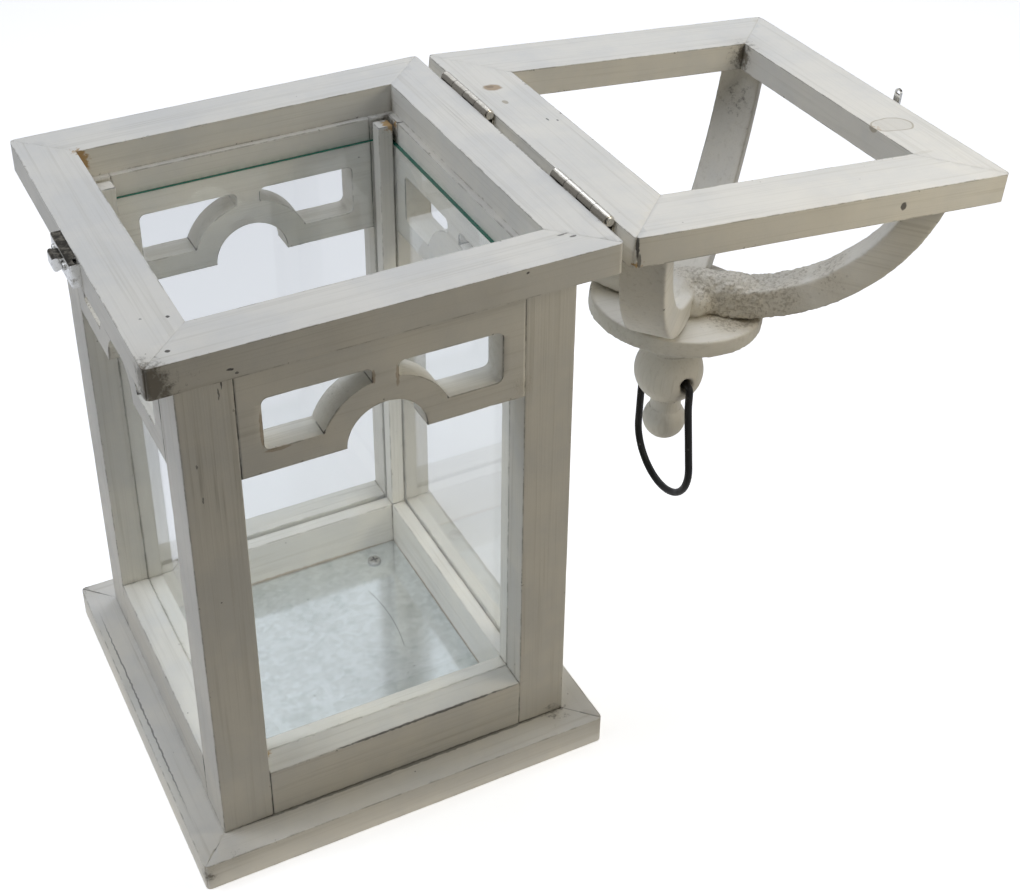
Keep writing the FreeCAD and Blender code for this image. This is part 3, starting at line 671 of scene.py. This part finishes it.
def sheet_material():
    """Galvanised steel: pale blue-grey spangles, soft smears, a few dark specks and one long scratch."""
    t = Tree("galvanised")
    place = t.place()
    grey = t.node("ShaderNodeRGBToBW")
    ragged = t.shifted(t.stretched(place, (1.0, 1.5, 1.0)), 200, 0.004)
    t.link(t.cells(ragged, 300, output="Color"), grey.inputs[0])
    spangle = grey.outputs[0]
    smear, fleck = t.noise(place, 48, 5, 0.7), t.noise(place, 190, 5, 0.7)
    colour = t.mix(t.spread(spangle, 0.1, 0.9), SHEET_PALE, SHEET_BRIGHT)
    colour = t.mix(t.spread(fleck, 0.50, 0.68, 0.0, 0.30), colour, SHEET_FLECK)
    colour = t.mix(t.spread(smear, 0.50, 0.72, 0.0, 0.30), colour, SHEET_SMEAR)
    specks = t.math("MULTIPLY", t.spread(t.cells(place, 150), 0.10, 0.04),
                    t.spread(t.noise(place, 40, 3), 0.56, 0.62))
    colour = t.mix(t.math("MULTIPLY", specks, 0.7), colour, SHEET_SPECK)
    parts, ((centre_x, centre_y), radius, half_width, half_length) = t.split(place), SCRATCH
    across, along = t.math("SUBTRACT", parts["X"], centre_x), t.math("SUBTRACT", parts["Y"], centre_y)
    squares = t.math("ADD", t.math("MULTIPLY", across, across), t.math("MULTIPLY", along, along))
    off = t.math("ABSOLUTE", t.math("SUBTRACT", t.math("SQRT", squares), radius))
    scratch = t.math("MULTIPLY", t.spread(off, half_width * 1.6, half_width * 0.6),
                     t.spread(t.math("ABSOLUTE", along), half_length, half_length - SCRATCH_FADE))
    scratch = t.math("MULTIPLY", scratch, t.math("GREATER_THAN", parts["X"], 0.0))
    colour = t.mix(t.math("MULTIPLY", scratch, 0.55), colour, SHEET_SCRATCH)
    t.set(Base_Color=colour, Metallic=0.75, Roughness=t.spread(smear, 0.3, 0.7, 0.10, 0.15))
    t.bump(t.math("ADD", fleck, t.math("MULTIPLY", spangle, 0.2)), 0.03, 0.0003)
    return t.material


def metal_material(name, colour, dark, rough, relief):
    """Plain plated metal: clouds of tarnish, and painted shade where parts meet."""
    t = Tree(name)
    place = t.place()
    tarnish = t.noise(place, 300, 5, 0.65)
    shade = t.mix(t.spread(tarnish, 0.45, 0.75, 0.0, 0.6), colour, dark)
    # Painted shade: nearly black where parts meet, by ambient occlusion.
    shade = t.mix(t.spread(t.hollow(0.0015), 0.3, 0.8, 0.0, 0.8), shade, ZINC_PAINTED_SHADE)
    t.set(Base_Color=shade, Metallic=1.0, Roughness=t.spread(tarnish, 0.3, 0.7, rough, rough + 0.16))
    t.bump(t.noise(place, 900, 3), relief, 0.0002)
    return t.material


def nickel_material():
    """The hinges' plating with painted reflections: a painted highlight along each knuckle, a painted dark
    reflection on faces that look along the world's X, and painted shade where parts meet.
    """
    t = Tree("nickel")
    place = t.place()
    tarnish = t.noise(place, 420, 5, 0.7)
    # Painted reflection: faces turned along the world's X are darkened as if they mirrored something dark,
    # which leaves a painted highlight along each knuckle.
    edge = t.math("ADD", t.split(t.normal())["X"], t.math("MULTIPLY", t.math("SUBTRACT", tarnish, 0.5), 0.5))
    painted_dark_reflection = t.math("MAXIMUM", t.spread(edge, 0.30, 0.50), t.spread(edge, -0.35, -0.60))
    bright = t.mix(t.spread(tarnish, 0.55, 0.75, 0.0, 0.6), NICKEL, NICKEL_DULL)
    colour = t.mix(t.math("MULTIPLY", painted_dark_reflection, 0.8), bright, NICKEL_DARK_REFLECTION)
    # Painted shade: nearly black where parts meet, by ambient occlusion.
    colour = t.mix(t.spread(t.hollow(0.0015), 0.3, 0.8, 0.0, 0.85), colour, NICKEL_PAINTED_SHADE)
    t.set(Base_Color=colour, Metallic=1.0, Roughness=t.spread(tarnish, 0.3, 0.7, 0.14, 0.30))
    return t.material


def latch_nickel_painted_reflections_material():
    """The latch's plating: a painted dark reflection, nearly black, on faces that look up in the world,
    bright elsewhere.
    """
    t = Tree("latch_nickel_painted_reflections")
    place = t.place()
    tarnish = t.noise(place, 420, 5, 0.7)
    # Painted reflection for the faces that look up in the world: nearly black, mottled by tarnish.
    dark = t.mix(t.spread(tarnish, 0.42, 0.66), UPWARD_REFLECTION_BLACK, UPWARD_REFLECTION_GREY)
    bright = t.mix(t.spread(tarnish, 0.5, 0.75), LATCH_BRIGHT, LATCH_DULL)
    colour = t.mix(t.spread(t.split(t.normal())["Z"], 0.35, 0.75), bright, dark)
    t.set(Base_Color=colour, Metallic=1.0, Roughness=t.spread(tarnish, 0.3, 0.7, 0.16, 0.3))
    return t.material


def wire_material():
    """The ring's black finish, scuffed grey in places."""
    t = Tree("black_wire")
    place = t.place()
    scuffs = t.noise(t.stretched(place, (1, 1, 0.5)), 260, 5, 0.7)
    shade = t.mix(t.spread(scuffs, 0.62, 0.72, 0.0, 0.7), WIRE_BLACK, WIRE_SCUFF)
    t.set(Base_Color=shade, Roughness=t.spread(scuffs, 0.4, 0.7, 0.30, 0.5))
    t.shader.inputs["Specular IOR Level"].default_value = 0.22
    t.bump(t.noise(place, 700, 3), 0.2, 0.0002)
    return t.material


def bare_wood_material():
    """The hidden dowel's plain wood, with its grain along Z."""
    t = Tree("bare_wood")
    rings = t.noise(t.stretched(t.place(), (300, 300, 30)), 1.0, 4)
    t.set(Base_Color=t.mix(rings, WOOD_DARK, WOOD_LIGHT), Roughness=0.7)
    return t.material


MATERIALS = {
    "paint": paint_material(),
    "glass": glass_material(),
    "sheet": sheet_material(),
    "nickel": nickel_material(),
    "latch_nickel_painted_reflections": latch_nickel_painted_reflections_material(),
    "steel": metal_material("zinc_steel", ZINC, ZINC_DULL, 0.28, 0.2),
    "wire": wire_material(),
    "bare": bare_wood_material(),
}


SOFT_EDGE_ANGLE = 35


def dress(names, material, round_edges=0.0):
    """Gives CAD nodes a material, and rounds their edges by this many millimetres where asked."""
    for name in names:
        node = NODES[name]
        node.data.materials.clear()
        node.data.materials.append(MATERIALS[material])
        if round_edges:
            soft = node.modifiers.new("soft_edges", "BEVEL")
            soft.width = round_edges * MM
            soft.segments = 2
            soft.limit_method = "ANGLE"
            soft.angle_limit = math.radians(SOFT_EDGE_ANGLE)


# ---------------------------------------------------------------- the lantern's body

# Half the side of each square, in millimetres, as in part.py.
BASE_HALF, BODY_HALF, FRAME_HALF, LID_HALF = 101.0, 86.5, 100.0, 99.0


def body_woodwork():
    foot_line = [(1, -BODY_HALF)]
    for k, side in enumerate(SIDES):
        axes = quarter(k)
        wooden_board("base_board_" + side, "lantern_body", axes, "x", mitre_joint, 10 + k, arris=0.9,
                     corner=(BASE_HALF * MM, BOARD_CORNER * MM), lines=foot_line, hidden_seam=0.2)
        wooden_board("bottom_rail_" + side, "lantern_body", axes, "x", end_joint, 20 + k)
        wooden_board("fret_" + side, "lantern_body", axes, "x", end_joint, 30 + k, 4.5, arris=0.7)
        wooden_board("inner_ledge_" + side, "lantern_body", axes, "x", mitre_joint, 40 + k, hidden_seam=0.3)
        wooden_board("top_rail_" + side, "lantern_body", axes, "x", mitre_joint, 50 + k, arris=0.6,
                     corner=(FRAME_HALF * MM, BOARD_CORNER * MM), hidden_seam=0.42)
    for k, corner in enumerate(CORNERS):
        axes = quarter(k)
        wooden_board("post_" + corner, "lantern_body", axes, "z", foot_joint, 60 + k, arris=0.45)
        wooden_board("corner_bead_" + corner, "lantern_body", axes, "z", foot_joint, 70 + k)
    wooden_board("base_panel", "lantern_body", Matrix.Identity(4), "x", no_joint, 80, 12.0, chip=0.1)


def lid_woodwork():
    for k, side in enumerate(LID_SIDES):
        axes = LID_CENTRE @ quarter(k)
        wooden_board("lid_rail_" + side, "lid", axes, "x", mitre_joint, 90 + k, arris=0.7,
                     corner=(LID_HALF * MM, LID_CORNER * MM), hidden_seam=0.42)
    for k, corner in enumerate(LID_CORNERS):
        axes = LID_CENTRE @ quarter(k, -45)
        wooden_curve("arm_" + corner, "lid", axes, "x", 100 + k)
    wooden_curve("crown_disc", "lid", LID_CENTRE, "x", 110, voxel=1.1)
    wooden_curve("finial", "lid", LID_CENTRE, "z", 111, voxel=0.7, chip=0.2)


def metal_and_glass():
    dress(["glass_" + side for side in SIDES], "glass")
    dress(["floor_sheet"], "sheet")
    dress([name for name in NODES if name.startswith("hinge_leaf")], "nickel", 0.12)
    dress(["latch_hook", "latch_body", "latch_lever", "latch_pin"], "latch_nickel_painted_reflections", 0.15)
    dress(["hinge_pins"], "nickel", 0.1)
    dress(["body_screws", "lid_screws", "latch_spring", "carcass_nails", "lid_nails"], "steel")
    dress(["finial_dowel"], "bare")
    dress(["ring"], "wire")
    for name in ("ring", "hinge_pins"):
        NODES[name].data.shade_smooth()


# ---------------------------------------------------------------- stage, light and camera

# The floor's colour where it is seen, and the two that it throws back: within the first distance from the
# middle, in metres, and beyond the second.
FLOOR_SEEN, FLOOR_BRIGHT, FLOOR_DARK = (0.92, 0.92, 0.92), (0.76, 0.69, 0.57), (0.16, 0.15, 0.13)
FLOOR_NEAR, FLOOR_FAR, FLOOR_SIZE = 0.22, 0.60, 14
FLOOR_GLOW, THROUGH_GLASS_GLOW = 0.60, 0.20
# The strip round the base that glows onto the lantern though it is no lamp: its inner and outer distance from
# the middle, and its strength.
STRIP_INNER, STRIP_OUTER, STRIP_GLOW = 0.105, 0.128, 0.58


def floor():
    """A white table, bright where it is seen, that throws warm light up only from close by, with a strip
    round the base that glows onto the lantern though it is no lamp.
    """
    bpy.ops.mesh.primitive_plane_add(size=FLOOR_SIZE)
    plane = bpy.context.active_object
    plane.name = "floor"
    t = Tree("pale_floor")
    path = t.node("ShaderNodeLightPath")
    thrown = path.outputs["Is Diffuse Ray"]
    away = t.node("ShaderNodeVectorMath", operation="LENGTH")
    t.link(t.place(), away.inputs[0])
    bounce = t.mix(t.spread(away.outputs["Value"], FLOOR_NEAR, FLOOR_FAR), FLOOR_BRIGHT, FLOOR_DARK)
    t.set(Base_Color=t.mix(thrown, FLOOR_SEEN, bounce), Roughness=0.9)
    t.shader.inputs["Emission Color"].default_value = (1.0, 1.0, 1.0, 1.0)
    shown = t.spread(path.outputs["Is Camera Ray"], 0.0, 1.0, THROUGH_GLASS_GLOW, FLOOR_GLOW)
    parts = t.split(t.place())
    out = t.math("MAXIMUM", t.math("ABSOLUTE", parts["X"]), t.math("ABSOLUTE", parts["Y"]))
    # Glow from the strip round the base, seen only by light bounced onto the lantern.
    strip = t.math("MULTIPLY", t.spread(out, STRIP_OUTER, STRIP_INNER, 0.0, STRIP_GLOW), thrown)
    seen = t.math("MULTIPLY", t.math("SUBTRACT", 1.0, thrown), shown)
    t.feed(t.shader.inputs["Emission Strength"], t.math("ADD", seen, strip))
    plane.data.materials.append(t.material)


# Each lamp is its name, its place, the size of its face, its power and its colour. All point at AIM.
COOL, WARM = (0.92, 0.97, 1.08), (1.0, 0.92, 0.76)
LAMPS = [
    ("overhead", (0.6, 0.38, 1.15), (1.0, 0.9), 6.6, COOL),
    ("left_high", (-0.8, 0.15, 1.6), (1.0, 1.0), 9.0, COOL),
    ("left_low", (-0.6, 0.20, 0.38), (0.3, 0.3), 0.42, COOL),
    ("near_right", (0.40, -0.32, 0.42), (0.2, 0.2), 0.66, WARM),
]
AIM = (0.05, 0.0, 0.18)
# The world's strength as a light, and as seen in mirrors and through glass. The camera sees it at 1.
WORLD_COLOUR, WORLD_STRENGTH, MIRRORED_STRENGTH = (0.97, 0.985, 1.0), 0.028, 0.75


def area_light(name, place, size, power, colour):
    """A rectangular lamp that the camera doesn't see, either directly or through glass."""
    data = bpy.data.lights.new(name, "AREA")
    data.shape = "RECTANGLE"
    data.size, data.size_y = size
    data.energy = power
    data.color = colour
    lamp = bpy.data.objects.new(name, data)
    lamp.visible_camera = False
    lamp.visible_transmission = False
    lamp.location = place
    lamp.rotation_mode = "QUATERNION"
    lamp.rotation_quaternion = (Vector(AIM) - Vector(place)).to_track_quat("-Z", "Y")
    bpy.context.scene.collection.objects.link(lamp)


def studio():
    """Lamps for the light, and a world that is nearly dark except where it is seen or mirrored."""
    world = bpy.data.worlds.new("studio")
    world.use_nodes = True
    nodes, links = world.node_tree.nodes, world.node_tree.links
    background = nodes["Background"]
    background.inputs["Color"].default_value = (*WORLD_COLOUR, 1.0)
    path, strength = nodes.new("ShaderNodeLightPath"), nodes.new("ShaderNodeMapRange")
    either = nodes.new("ShaderNodeMath")
    either.operation = "MAXIMUM"
    links.new(path.outputs["Is Glossy Ray"], either.inputs[0])
    links.new(path.outputs["Is Transmission Ray"], either.inputs[1])
    links.new(either.outputs[0], strength.inputs["Value"])
    strength.inputs["To Min"].default_value = WORLD_STRENGTH
    strength.inputs["To Max"].default_value = MIRRORED_STRENGTH
    seen = nodes.new("ShaderNodeMath")
    seen.operation = "MAXIMUM"
    links.new(path.outputs["Is Camera Ray"], seen.inputs[0])
    links.new(strength.outputs["Result"], seen.inputs[1])
    links.new(seen.outputs[0], background.inputs["Strength"])
    bpy.context.scene.world = world
    for lamp in LAMPS:
        area_light(*lamp)
    view = bpy.context.scene.view_settings
    view.view_transform = "Standard"
    view.look = "None"


# The photograph's camera, fitted to the lantern's square corners: metres, degrees, and millimetres for the
# lens and its sensor.
VIEW_PLACE = (-0.21496, -0.59985, 0.63213)
VIEW_AZIMUTH, VIEW_ELEVATION, VIEW_ROLL = -25.551, 32.659, -0.525
VIEW_LENS, VIEW_SENSOR = 60.275, 36.0
VIEW_SHIFT, VIEW_CLIPS = (0.0547, -0.1454), (0.05, 30.0)


def camera():
    """The photograph's view: its place, its three directions, and its lens with a small shift."""
    data = bpy.data.cameras.new("view")
    data.lens, data.sensor_width = VIEW_LENS, VIEW_SENSOR
    data.shift_x, data.shift_y = VIEW_SHIFT
    data.clip_start, data.clip_end = VIEW_CLIPS
    eye = bpy.data.objects.new("view", data)
    azimuth, elevation, roll = (math.radians(angle) for angle in (VIEW_AZIMUTH, VIEW_ELEVATION, VIEW_ROLL))
    ahead = Vector((-math.sin(azimuth) * math.cos(elevation), math.cos(azimuth) * math.cos(elevation),
                    -math.sin(elevation)))
    right = ahead.cross(Vector((0, 0, 1))).normalized()
    turn = Quaternion(ahead, -roll)
    right = turn @ right
    up = right.cross(ahead)
    eye.matrix_world = Matrix.Translation(VIEW_PLACE) @ Matrix((right, up, -ahead)).transposed().to_4x4()
    bpy.context.scene.collection.objects.link(eye)
    bpy.context.scene.camera = eye


def main():
    body_woodwork()
    lid_woodwork()
    metal_and_glass()
    floor()
    studio()
    camera()


main()
